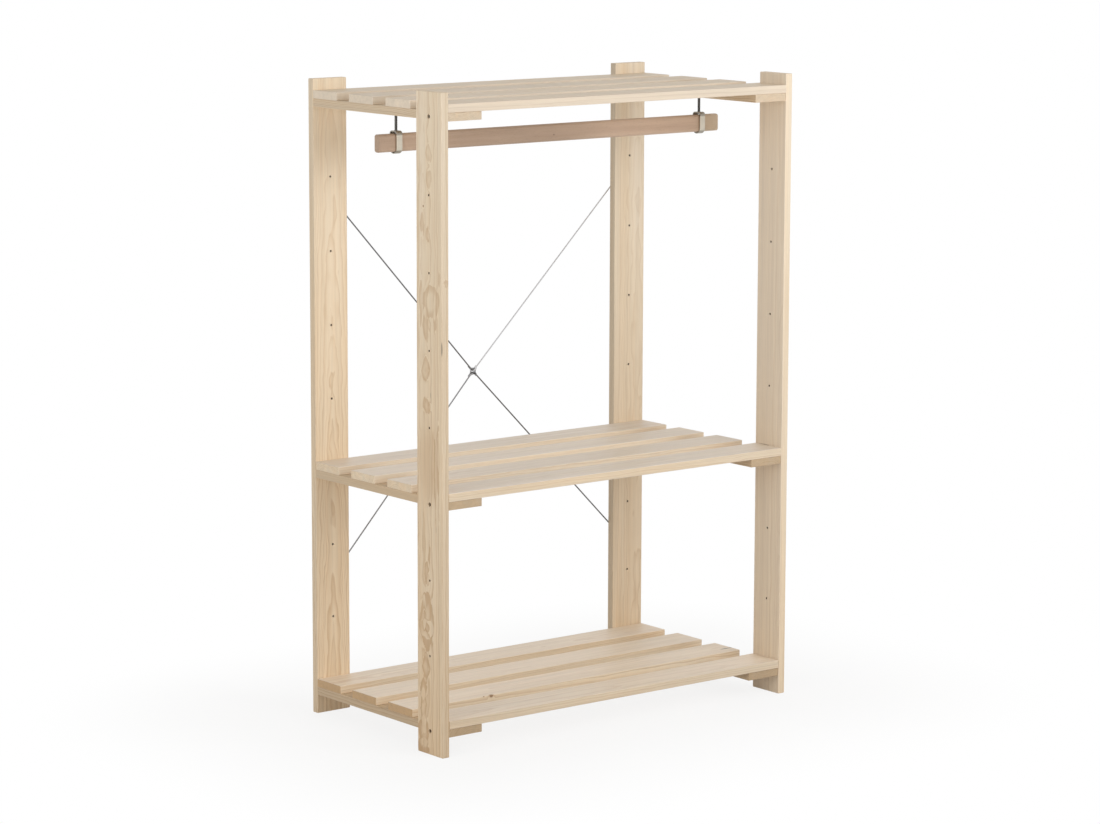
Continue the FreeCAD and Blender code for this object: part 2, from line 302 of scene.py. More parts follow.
class Pine(Paint):
    """Planed pine: rings cut through by the board's faces, fibres, knots, end grain and eased edges, with the
    painted shade, light and sheen that its figure asks for.
    """

    # How far apart two seeds and the axes of one seed lie in the noises
    seed_step = 7.31
    axis_shares = (1.0, 1.7, 0.6)

    # Widths of the strips along a board's ends, edges and corners
    easing = 0.0006
    edge_width = 0.0016
    arris_width = 0.0026

    # How far ripples and flames push the rings out
    ripple_push = 0.0014
    flame_push = 0.004

    # How far waves and ripples stir a flame's outline, and the widest flame that they stir in full
    stir_along = 0.06
    stir_across = 0.022
    stir_ripple = 0.006
    stirred_width = 0.012

    # A flame whose width is more than this share of its length is round, and a slimmer one is pointed
    round_share = 0.6

    # How brown flames are at the middle of a board, and how much less with each metre towards its high end
    flame_brown = 0.58
    flame_fade = 0.35

    # A knot's width as a share of its length
    knot_share = 0.8

    # How far ripples and waves stir the rims of knots, stains and cracks, as shares of their half sizes
    knot_stir_share = 0.5
    stain_stir_share = 0.8
    crack_stir_share = 0.8

    # Where each mark begins and ceases to fade, as shares of its half sizes
    flame_rim_shares = (1.0, 1.4)
    knot_push_shares = (0.6, 3.2)
    knot_rim_shares = (0.9, 1.7)
    knot_core_shares = (0.75, 1.05)
    stain_rim_shares = (0.3, 1.3)
    crack_rim_shares = (0.6, 1.1)

    # Waves of uneven growth in a metre of log, how many rings they shift, and how dark the faintest ring is
    growth_waves = 60.0
    growth_rings = 2.0
    faintest_share = 0.4

    # Darkness over the width of one ring, its ends first
    ring_stops = ((0.0, 0.0), (1.0, 0.0), (0.42, 0.16), (0.74, 0.6), (0.88, 1.0), (0.96, 0.45))

    def __init__(self, name, board, figure, look):
        super().__init__(name)
        self.board = board
        self.figure = figure
        self.look = look
        self.spot = self.place()
        self.along, self.across, self.through = (self.spot[axis] - board.middle[axis] for axis in board.axes)
        self.grain = self.vector(self.along, self.across, self.through)
        self.seed = figure.seed * self.seed_step
        self.offset = tuple(self.seed * share for share in self.axis_shares)
        self.wave = self.grown((13.0, 46.0, 46.0), 1.0)
        self.ripple = self.grown((26.0, 120.0, 120.0), 2.0)
        self.fibre = self.grown((16.0, 800.0, 800.0), 3.0, 0.6)
        self.streak = self.grown((2.6, 110.0, 110.0), 3.0, 0.55)
        self.cloud = self.grown((1.7, 7.0, 7.0), 2.0)
        self.band = self.grown((1.3, 34.0, 34.0), 2.0)
        self.ends = self.strip(self.along, board.half_length, self.edge_width)
        self.edges = self.strip(self.across, board.half_width, self.edge_width)
        self.faces = self.strip(self.through, board.half_thickness, self.edge_width)
        self.hill = self.lift()
        stir = self.ripple * self.knot_stir_share
        self.knots = [(self.reach(place, size, size * self.knot_share) + stir, size)
                      for *place, size in figure.knots]

    def grown(self, waves, detail, roughness=0.5):
        """Noise along the grain, with this many waves in a metre along, across and through the board."""
        return self.noise(self.grain, waves, self.offset, detail, roughness)

    def strip(self, side, half, width):
        """1 at the outside of a board, 0 further in than width."""
        return abs(side).rise(half - width, half - self.easing)

    def reach(self, place, half_length, half_width):
        """Distance from a place, 1 on an ellipse of these half sizes; with no depth it goes right through."""
        reaches = [(self.along - place[0]) / half_length, (self.across - place[1]) / half_width]
        if len(place) == 3:
            reaches.append((self.through - place[2]) / half_width)
        return distance(*reaches)

    def lift(self):
        """How far the flames lift the rings: 0.5 inside a flame's rim, and its own height in its middle."""
        hill = 0.0
        for along, across, half_length, half_width, top in self.figure.flames:
            stir = min(self.stirred_width / half_width, 1.0)
            aside = (self.wave * self.stir_across + self.ripple * self.stir_ripple) * stir
            near = abs(self.along + self.wave * (self.stir_along * stir) - along) / half_length
            beside = (self.across + aside - across) / half_width
            round_rim = half_width > half_length * self.round_share
            away = distance(near, beside) if round_rim else near + beside * beside
            hill = hill + away.fall(*self.flame_rim_shares) * 0.5 + away.fall(0.0, 1.0) * (top - 0.5)
        return hill

    def late_wood(self):
        """Rings round the heart of the log: soft early wood that darkens to a sharp late edge."""
        figure = self.figure
        swell = self.grown((5.5, 15.0, 15.0), 1.5)
        from_heart = self.across - (self.along * figure.lean[0] + figure.heart[0])
        below_heart = self.through - (self.along * figure.lean[1] + figure.heart[1])
        radius = distance(from_heart, below_heart)
        radius = radius + swell * figure.swell + self.wave * figure.wave + self.ripple * self.ripple_push
        if figure.flames:
            radius = radius + self.hill * self.flame_push
        for away, size in self.knots:
            radius = radius + away.fall(*self.knot_push_shares) * (size * self.knot_share)
        uneven = self.node("ShaderNodeTexNoise", {"noise_dimensions": "1D"},
                           {"W": radius * self.growth_waves + self.seed, "Scale": 1.0, "Detail": 1.0})
        rings = radius / figure.spacing + uneven * self.growth_rings
        weight = self.node("ShaderNodeTexWhiteNoise", {"noise_dimensions": "1D"},
                           {"W": rings.floor() + self.seed})
        strength = weight * (1.0 - self.faintest_share) + self.faintest_share
        return self.ramp(rings.fraction(), self.ring_stops) * strength

    def colour(self, late):
        """The board's colour before light and dark streaks, with painted shade and painted light on its ends
        and narrow edges, painted shade towards its low end, and a painted sheen on its broad faces.
        """
        figure, look = self.figure, self.look
        # Painted shade: warmer towards the low end as drift grows
        golden = self.cloud * 0.7 + self.band * 1.5 - self.along * figure.drift + figure.warm
        colour = self.mix(golden, rgba(look.early_wood), rgba(look.warm_wood))
        colour = self.mix(0.0 - golden, colour, rgba(look.pale_wood))
        ring_painted_highlight = late * ((1.0 - self.along * figure.fade) * figure.contrast)
        colour = self.mix(ring_painted_highlight, colour, rgba(look.late_wood))
        if figure.flames:
            contour = (self.hill + self.ripple * 0.08 + 0.5).fraction().fall(0.0, 0.5)
            brown = contour * (self.flame_brown - self.along * self.flame_fade)
            colour = self.mix(brown, colour, rgba(look.resin_wood))
        for *place, half_length, half_width, share in figure.stains:
            away = self.reach(place, half_length, half_width) + self.wave * self.stain_stir_share
            colour = self.mix(away.fall(*self.stain_rim_shares) * share, colour, rgba(look.resin_wood))
        # Ends and narrow edges mixed darker or paler: darker end grain, plus painted shade and painted light
        # set face by face
        end_wood = look.late_wood if figure.end_shade > 0 else look.pale_wood
        colour = self.mix(self.ends * abs(figure.end_shade), colour, rgba(end_wood))
        colour = self.mix(self.edges * max(-figure.edge_shade, 0.0), colour, rgba(look.pale_wood))
        # Painted sheen: a grey tint on the broad faces for the reflection of the bright room seen at a
        # grazing angle
        painted_sheen = self.faces * (self.band * 1.6 + 1.0) * figure.grey
        colour = self.mix(painted_sheen, colour, rgba(look.painted_sheen_grey))
        if self.knots:
            rim = sum(away.fall(*self.knot_rim_shares) for away, _ in self.knots)
            core = sum(away.fall(*self.knot_core_shares) for away, _ in self.knots)
            colour = self.mix(rim * 0.45, colour, rgba(look.late_wood))
            colour = self.mix(core * 0.85, colour, rgba(look.knot_wood))
        return colour

    def brightness(self, holes):
        """Light and dark fibres and streaks, pale corners, dark cracks and grime round the holes, with
        painted shade on the narrow edges and towards the low end, and ends darkened for their end grain and
        painted shade.
        """
        figure, board = self.figure, self.board
        level = self.fibre * 0.16 + self.streak * 0.26 + self.cloud * 0.10
        # Painted shade: darker towards the low end as drift grows
        level = level + self.band * figure.bands + self.along * (figure.drift * 0.1) + 1.0
        arris = self.strip(self.across, board.half_width, self.arris_width)
        arris = arris * self.strip(self.through, board.half_thickness, self.arris_width)
        # Painted shade darkens the narrow edges; the corners are a little paler
        level = level * (1.0 - self.edges * max(figure.edge_shade, 0.0)) * (arris * 0.05 + 1.0)
        # Ends darker for their end grain, and painted shade where end_shade is set high
        level = level * (1.0 - self.ends * (max(figure.end_shade, 0.0) * 0.12))
        for *place, half_length, half_width, depth in figure.cracks:
            away = self.reach(place, half_length, half_width) + self.ripple * self.crack_stir_share
            level = level * (1.0 - away.fall(*self.crack_rim_shares) * depth)
        if holes:
            step = ((self.spot[2] - holes.first) / holes.pitch + 0.5).fraction() - 0.5
            start, end = (holes.radius + spread for spread in holes.grime)
            grime = distance(step * holes.pitch, self.across).fall(start, end)
            level = level * (1.0 - grime * holes.grime_share)
        return level * figure.tone

    def planed(self, holes=None):
        """The finished material."""
        late = self.late_wood()
        colour = self.shade(self.colour(late), self.brightness(holes))
        rough = self.fibre * 0.2 - late * 0.06 + self.ends * 0.2 + self.look.wood_roughness
        relief = late * 0.35 + self.fibre * 0.9 + self.streak * 0.4
        return self.finish({"Base Color": colour, "Roughness": rough, "Specular IOR Level": 0.7},
                           {"Height": relief, "Strength": self.look.grain_bump, "Distance": 0.0004})


post_figures = {
    "front_left_post": Figure(
        3, heart=(0.022, 0.075), lean=(0.0, 0.003), swell=0.008, wave=0.006, spacing=0.0050, contrast=0.85,
        fade=0.45, tone=1.03, warm=0.36, drift=0.50, edge_shade=0.06,
        knots=((0.570, 0.0240, -0.011, 0.0030),),
        flames=((0.700, -0.002, 0.024, 0.013, 0.76), (0.638, -0.002, 0.020, 0.013, 0.78),
                (0.522, 0.028, 0.030, 0.009, 0.74), (0.492, 0.004, 0.024, 0.009, 0.74),
                (0.385, -0.045, 0.018, 0.008, 0.72), (0.327, -0.0086, 0.042, 0.037, 1.25),
                (0.322, 0.036, 0.066, 0.006, 0.64), (0.258, 0.014, 0.034, 0.013, 0.70),
                (0.272, -0.026, 0.034, 0.005, 0.64), (0.149, 0.016, 0.034, 0.020, 1.00),
                (0.052, 0.010, 0.020, 0.016, 0.78), (-0.118, -0.0240, 0.125, 0.0030, 0.60),
                (-0.108, -0.0370, 0.120, 0.0024, 0.60), (-0.377, 0.014, 0.034, 0.013, 0.70),
                (-0.329, 0.003, 0.036, 0.006, 0.60), (-0.509, 0.014, 0.078, 0.034, 0.95),
                (-0.527, 0.016, 0.021, 0.026, 0.80), (-0.485, 0.026, 0.042, 0.009, 0.80),
                (-0.635, 0.016, 0.032, 0.018, 0.85), (-0.691, 0.028, 0.026, 0.016, 0.70),
                (-0.742, 0.028, 0.042, 0.016, 1.00), (-0.803, 0.028, 0.034, 0.022, 1.00),
                (-0.851, 0.028, 0.024, 0.024, 0.66)),
        stains=((-0.098, 0.006, 0.12, 0.046, 0.42),),
        cracks=((0.2096, -0.054, -0.011, 0.022, 0.0030, 0.55), (0.085, -0.006, -0.011, 0.009, 0.0014, 0.35),
                (-0.262, -0.028, -0.011, 0.012, 0.0012, 0.30))),
    # Its high tone is partly painted light, lifting a post whose low end stands back in the shade
    "back_left_post": Figure(
        11, heart=(0.004, 0.048), lean=(0.004, 0.019), swell=0.010, wave=0.008, spacing=0.0050, contrast=0.58,
        fade=0.55, tone=1.18, warm=0.32, drift=0.20, edge_shade=0.20),
    "front_right_post": Figure(
        17, heart=(-0.055, 0.040), lean=(0.0, 0.006), swell=0.008, wave=0.006, spacing=0.0042, contrast=0.36,
        fade=0.5, tone=1.09, warm=0.12, drift=0.34, grey=0.3,
        cracks=((-0.1669, 0.018, -0.011, 0.0016, 0.022, 0.5),)),
    "back_right_post": Figure(
        23, heart=(0.030, 0.060), lean=(-0.004, 0.008), swell=0.010, wave=0.008, spacing=0.0048,
        contrast=0.36, fade=0.5, tone=1.06, warm=0.20, drift=0.30, edge_shade=0.27),
}

# For each shelf, how bright it is, and what its slats and its battens have in common. Much of it is painted
# light and shade: slats lighter on lower shelves against the shade of shelves above, slat ends darker low
# down and paler on top, slat fronts paler on the middle and top shelves, battens darker and warmer the lower
# they sit, and a painted grey sheen
shelf_figures = {
    "bottom": (1.12, {"grey": 0.35, "end_shade": 0.9},
               {"tone": 0.77, "warm": 0.95, "contrast": 0.85, "end_shade": 0.3}),
    "middle": (1.03, {"grey": 0.5, "edge_shade": -0.25, "end_shade": -0.1},
               {"tone": 0.83, "warm": 0.90, "end_shade": 0.2}),
    "top": (0.97, {"grey": 0.1, "edge_shade": -0.55, "warm": 0.42, "end_shade": -0.78},
            {"tone": 0.95, "warm": 0.45, "contrast": 0.95, "end_shade": -0.2}),
}

# What single slats have of their own: painted shade on the front edge of the front bottom slat, no paler
# front on the front middle slat, and knots and a crack
slat_marks = {
    "bottom_shelf_slat_1": {"edge_shade": 0.12},
    "middle_shelf_slat_1": {"edge_shade": 0.0},
    "bottom_shelf_slat_2": {"knots": ((-0.310, -0.053, 0.0095, 0.0065), (-0.335, -0.053, 0.011, 0.0025)),
                            "cracks": ((0.552, -0.0185, 0.011, 0.024, 0.0034, 0.7),)},
}


# Sizes and colours that a user can change

def tint(name, description, default, most=1.0):
    return bpy.props.FloatVectorProperty(name=name, description=description, default=default, subtype="COLOR",
                                         size=3, min=0.0, max=most)


def length(name, description, default, least):
    return bpy.props.FloatProperty(name=name, description=description, default=default, unit="LENGTH",
                                   min=least)


def share(name, description, default, least=0.0, most=1.0):
    return bpy.props.FloatProperty(name=name, description=description, default=default, subtype="FACTOR",
                                   min=least, max=most)


def angle(name, description, default):
    return bpy.props.FloatProperty(name=name, description=description, default=default, subtype="ANGLE")


def power(name, description, default):
    return bpy.props.FloatProperty(name=name, description=description, default=default, unit="POWER", min=0.0)


def standpoint(name, description, default):
    return bpy.props.FloatVectorProperty(name=name, description=description, default=default,
                                         subtype="TRANSLATION", unit="LENGTH", size=3)


class WardrobeLook(bpy.types.PropertyGroup):
    """Colours and finishes."""

    early_wood: tint("Early wood", "Pale part of each pine ring", (0.80, 0.67, 0.495))
    late_wood: tint("Late wood", "Dark edge of each pine ring", (0.53, 0.345, 0.175))
    warm_wood: tint("Warm wood", "Tone that drifts through the pine", (0.72, 0.545, 0.35))
    # A painted sheen: this grey stands in for the grazing reflection of the bright room on the broad faces
    painted_sheen_grey: tint("Grey wood", "Dusty tone of the broad faces", (0.73, 0.668, 0.60))
    # The paler ends and narrow fronts it gives the shelves are painted light
    pale_wood: tint("Pale wood", "Freshly sawn end grain and the palest pine", (0.86, 0.76, 0.63))
    resin_wood: tint("Resin wood", "Brown where a ring lies flat in a face", (0.51, 0.325, 0.165))
    knot_wood: tint("Knot", "Core of a knot", (0.27, 0.14, 0.065))
    rail_wood: tint("Rail wood", "Pale grain of the clothes rail", (0.61, 0.45, 0.33))
    rail_grain: tint("Rail grain", "Dark grain of the clothes rail", (0.42, 0.275, 0.185))
    rail_tip: tint("Rail tip", "Greener wood at the right end of the clothes rail", (0.50, 0.39, 0.25))
    zinc: tint("Zinc", "Plating on nuts, washers and slat screws", (0.60, 0.55, 0.455))
    loop: tint("Loop", "Dull cream plating on the loops round the rail", (0.68, 0.625, 0.52))
    screw: tint("Shelf screw", "Dark heads of the screws that hold the shelves", (0.17, 0.14, 0.12))
    wire: tint("Wire", "Galvanised brace wire", (0.20, 0.20, 0.205))
    rod: tint("Rod", "Dark steel of the hanger rods", (0.19, 0.188, 0.18))
    wood_roughness: share("Wood roughness", "Roughness of the planed faces", 0.50)
    grain_bump: share("Grain relief", "How strongly fibres and rings stand out", 0.25)


class WardrobeRod(bpy.types.PropertyGroup):
    """Sizes of the threaded rods that the clothes rail hangs from."""

    width: length("Width", "Diameter over the thread", 0.008, 0.002)
    core_share: share("Core", "Core of the thread as a share of the rod", 0.85, 0.5)
    neck_share: share("Neck", "Neck in the loop as a share of the rod", 0.75, 0.3)
    head_share: share("Head", "Head in the loop as a share of the rod", 1.25, 1.0, 2.0)
    ease_share: share("Easing", "Easing of the rod's ends as a share of its radius", 0.2)
    head_height: length("Head height", "Height of the head", 0.0024, 0.0005)
    neck_length: length("Neck length", "Length of the neck", 0.0034, 0.0005)
    pitch: length("Pitch", "Climb of the thread in one turn", 0.00125, 0.0005)


class WardrobeBrace(bpy.types.PropertyGroup):
    """Sizes of the bent wires of the cross brace, to the middle of the wire."""

    wire: length("Wire", "Diameter of the wire", 0.004, 0.001)
    post_eye: length("Post eye", "Radius of the eye round each screw", 0.00455, 0.002)
    ring_eye: length("Ring eye", "Radius of the eye through the ring", 0.00458, 0.002)
    ring: length("Ring", "Radius of the ring", 0.008, 0.004)
    ring_play: length("Play", "Gap between an eye and the ring", 0.0003, 0.0)
    tail: length("Tail", "Straight end turned back along the stem", 0.009, 0.001)
    tail_reach: length("Tail reach", "Distance of the tail from the stem", 0.00415, 0.002)


class WardrobeStage(bpy.types.PropertyGroup):
    """Camera, light and floor."""

    eye: standpoint("Eye", "Where the camera stands", (-6.06561, -7.68835, 2.40993))
    heading: angle("Heading", "Turn of the view from straight back towards the right", 0.668509)
    pitch: angle("Pitch", "Tilt of the view above the horizon", -0.161751)
    roll: angle("Roll", "Turn of the camera about its line of sight", 0.00273)
    lens: bpy.props.FloatProperty(
        name="Lens", description="Focal length on a sensor 36 mm wide", unit="CAMERA", default=119.178)
    sky: share("Sky", "Strength of the even light all round", 0.50)
    key: power("Key", "Power of the front lamp", 54.0)
    key_place: standpoint("Key place", "Where the front lamp hangs", (0.8, -3.3, 2.3))
    key_colour: tint("Key colour", "Colour of the front and back lamps", (0.98, 1.0, 1.06), 2.0)
    side: power("Side", "Power of the left lamp", 56.0)
    side_place: standpoint("Side place", "Where the left lamp hangs", (-5.0, -1.2, 1.9))
    side_colour: tint("Side colour", "Colour of the left lamp", (1.0, 0.965, 0.915), 2.0)
    back: power("Back", "Power of the lamp behind", 30.0)
    back_place: standpoint("Back place", "Where the lamp behind hangs", (2.4, 4.0, 2.0))
    lamp_size: length("Lamp size", "Diameter of each round lamp", 2.4, 0.1)
    lamp_aim: standpoint("Lamp aim", "Where all lamps face", (0.0, 0.0, 0.9))
    floor_size: length("Floor", "Side of the square floor", 40.0, 4.0)
    floor_colour: tint("Floor colour", "Pale floor round the wardrobe", (0.84, 0.82, 0.79))
    shadow_share: share("Shadow", "How much of the floor's own light and shade shows by the wardrobe", 0.15)
    shadow_reach: length("Shadow reach", "How far from the wardrobe that light and shade shows", 0.8, 0.1)


class WARDROBE_OT_posts(bpy.types.Operator):
    """Dress the four drilled posts in pine"""

    bl_idname = "wardrobe.posts"
    bl_label = "Posts"

    def execute(self, context):
        look = context.scene.wardrobe_look
        for node, figure in post_figures.items():
            dress(node, Pine(node + "_pine", Board(node), figure, look).planed(Holes))
        return {"FINISHED"}


class WARDROBE_OT_shelves(bpy.types.Operator):
    """Dress the slats and battens of the three shelves in pine, each cut from its own log"""

    bl_idname = "wardrobe.shelves"
    bl_label = "Shelves"

    # Slats on each shelf, how strongly bands show in all boards, and the start of the chances
    slats = 4
    bands = 0.2
    first_log = 4

    def execute(self, context):
        look = context.scene.wardrobe_look
        chance = random.Random(self.first_log)
        for shelf, (tone, slat, batten) in shelf_figures.items():
            boards = {f"{shelf}_shelf_slat_{number}": slat for number in range(1, self.slats + 1)}
            boards.update({f"{shelf}_shelf_{side}_batten": batten for side in sides})
            for node, common in boards.items():
                cut = {**self.log(chance, tone), **common, **slat_marks.get(node, {})}
                figure = Figure(bands=self.bands, **cut)
                dress(node, Pine(node + "_pine", Board(node), figure, look).planed())
        return {"FINISHED"}

    def log(self, chance, tone):
        """Where in its log a board was cut, by chance, and how bright and how strongly ringed that log is."""
        return {"heart": (chance.uniform(-0.03, 0.03), chance.choice((-1, 1)) * chance.uniform(0.03, 0.08)),
                "lean": (chance.uniform(-0.006, 0.006), chance.uniform(-0.015, 0.015)),
                "seed": chance.uniform(1, 90), "swell": chance.uniform(0.006, 0.012),
                "spacing": chance.uniform(0.0036, 0.0055), "contrast": chance.uniform(0.5, 0.75),
                "tone": tone * chance.uniform(0.97, 1.03)}


class WARDROBE_OT_rail(bpy.types.Operator):
    """Dress the clothes rail in a browner, finer wood"""

    bl_idname = "wardrobe.rail"
    bl_label = "Clothes rail"

    # Middle of the darkest stretch, and the squared distances from it between which the rail gets lighter
    dark_middle = -0.12
    dark_squares = (0.01, 0.13)

    # How far along from the rail's middle its tip begins and is fully green
    tip = (0.49, 0.54)

    # A pin knot, along and across from the rail's middle, and the radii of its core and its rim
    pin_knot = (-0.0032, -0.0053)
    pin_radii = (0.0012, 0.0026)

    # How far from its ends the rail begins to darken and is darkest
    end_widths = (0.003, 0.001)

    def execute(self, context):
        dress("clothes_rail", self.brown_wood(Board("clothes_rail"), context.scene.wardrobe_look))
        return {"FINISHED"}

    def brown_wood(self, board, look):
        """Banded and flecked wood, darker left of its middle and greener at its right tip."""
        paint = Paint("rail_wood")
        spot = paint.place()
        along, across, through = (spot[axis] - board.middle[axis] for axis in board.axes)
        grain = paint.vector(along, across, through)
        bands = paint.noise(grain, (2.2, 70.0, 70.0), (3.0, 5.0, 8.0), 4.0, 0.6)
        fibre = paint.noise(grain, (22.0, 900.0, 900.0), (1.0, 2.0, 3.0), 3.0, 0.6)
        fleck = paint.noise(grain, (130.0, 1100.0, 500.0), (9.0, 4.0, 6.0), 1.0).rise(0.13, 0.2)
        cloud = paint.noise(grain, (3.4, 9.0, 9.0), (6.0, 1.0, 2.0), 3.0)
        ends = abs(along).rise(*(board.half_length - width for width in self.end_widths))
        dark_share = (bands * 1.5 + 0.42).rise(0.0, 1.0)
        colour = paint.mix(dark_share * 0.6, rgba(look.rail_wood), rgba(look.rail_grain))
        colour = paint.mix(along.rise(*self.tip) * 0.6, colour, rgba(look.rail_tip))
        from_dark = along - self.dark_middle
        dusk = (from_dark * from_dark).fall(*self.dark_squares)
        knot = distance(along - self.pin_knot[0], across - self.pin_knot[1]).fall(*self.pin_radii)
        level = fibre * 0.2 + cloud * 0.30 + along * 0.12 + 1.02
        level = level * (1.0 - fleck * 0.14) * (1.0 - ends * 0.12) * (1.0 - dusk * 0.17) * (1.0 - knot * 0.6)
        rough = fibre * 0.2 + ends * 0.15 + 0.46
        return paint.finish({"Base Color": paint.shade(colour, level), "Roughness": rough},
                            {"Height": fibre + bands * 0.4, "Strength": look.grain_bump, "Distance": 0.0003})


# Steel

class PaintedBendShade:
    """Painted shade on the bends of a strip: its middle and how far it stays straight above and below, in
    metres.
    """

    # How far the painted shade on each bend takes to darken, in metres, and how dark it gets
    fade = 0.004
    shade = 0.45

    def __init__(self, middle, straight):
        self.middle = middle
        self.straight = straight


def plated(name, colour, rough, mottling=1.0, metal=1.0, bend_shade=None):
    """Plated steel: mottled, with faint scratches, and painted shade where a strip was bent."""
    paint = Paint(name)
    x, y, z = paint.place()
    spot = paint.vector(x, y, z)
    mottle = paint.noise(spot, (420.0, 420.0, 420.0), (2.0, 3.0, 5.0), 3.0, 0.6)
    patch = paint.noise(spot, (55.0, 55.0, 55.0), (7.0, 1.0, 4.0), 2.0)
    scratch = paint.noise(spot, (2600.0, 2600.0, 160.0), (1.0, 8.0, 2.0), 2.0).rise(0.1, 0.25)
    level = (mottle * 0.3 + patch * 0.25) * mottling + 1.0
    # Painted shade darkens the bends above and below the middle of the strip
    if bend_shade:
        from_middle = abs(z - bend_shade.middle) + mottle * bend_shade.fade
        level = level * (1.0 - from_middle.rise(bend_shade.straight, bend_shade.straight + bend_shade.fade) * bend_shade.shade)
    gloss = (mottle * 0.25 + patch * 0.2 - scratch * 0.08) * mottling + rough
    colour = paint.shade(tuple(colour), level)
    return paint.finish({"Base Color": colour, "Roughness": gloss, "Metallic": metal},
                        {"Height": mottle * 0.5 + scratch, "Strength": 0.12 * mottling, "Distance": 0.0001})


# Two faces that meet at more than this angle keep a sharp edge between them
sharp_angle = math.radians(36)

# Vertices nearer to each other than this are one, in metres
merging = 1e-6


def only(kind, geometry):
    """The vertices, edges or faces among what bmesh gives back."""
    return [item for item in geometry if isinstance(item, kind)]


def rim_of(geometry):
    """The edges and vertices that bmesh gives back, without the faces."""
    return only((bmesh.types.BMVert, bmesh.types.BMEdge), geometry)


def bend(shape, rim, centre, axis, turn, steps, climb=(0.0, 0.0, 0.0)):
    """Carry a rim round an arc, which climbs at each step, and give the rim at its far end."""
    spun = bmesh.ops.spin(shape, geom=rim, cent=centre, axis=axis, angle=turn, steps=steps, dvec=climb)
    return rim_of(spun["geom_last"])


def draw_out(shape, rim, run):
    """Carry a rim straight along, and give the rim at its far end."""
    drawn = bmesh.ops.extrude_edge_only(shape, edges=only(bmesh.types.BMEdge, rim))["geom"]
    bmesh.ops.translate(shape, vec=run, verts=only(bmesh.types.BMVert, drawn))
    return rim_of(drawn)


def cut_off(shape, rim, easing):
    """Close a rim with a flat face whose edge is eased."""
    edges = only(bmesh.types.BMEdge, rim)
    bmesh.ops.contextual_create(shape, geom=edges)
    bmesh.ops.bevel(shape, geom=edges, offset=easing, segments=3, profile=0.5, affect="EDGES", material=-1)


def lathe(shape, line, steps):
    """Turn a line of (distance from the axis, height) round the Z axis into a closed shape."""
    corners = [shape.verts.new((out, 0.0, up)) for out, up in line]
    edges = [shape.edges.new(pair) for pair in zip(corners, corners[1:])]
    bmesh.ops.spin(shape, geom=corners + edges, cent=(0, 0, 0), axis=(0, 0, 1), angle=math.tau, steps=steps,
                   use_merge=True)
    bmesh.ops.remove_doubles(shape, verts=shape.verts, dist=merging)


def stand_for(node, name, shape, material, body):
    """Make a finished shape the piece that is seen in place of a CAD node."""
    bmesh.ops.recalc_face_normals(shape, faces=shape.faces)
    for face in shape.faces:
        face.smooth = True
    for edge in shape.edges:
        edge.smooth = edge.calc_face_angle(0.0) < sharp_angle
    mesh = bpy.data.meshes.new(name)
    shape.to_mesh(mesh)
    shape.free()
    mesh.materials.append(material)
    piece = bpy.data.objects.new(name, mesh)
    bpy.context.scene.collection.objects.link(piece)
    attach(piece, body)
    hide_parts(node)


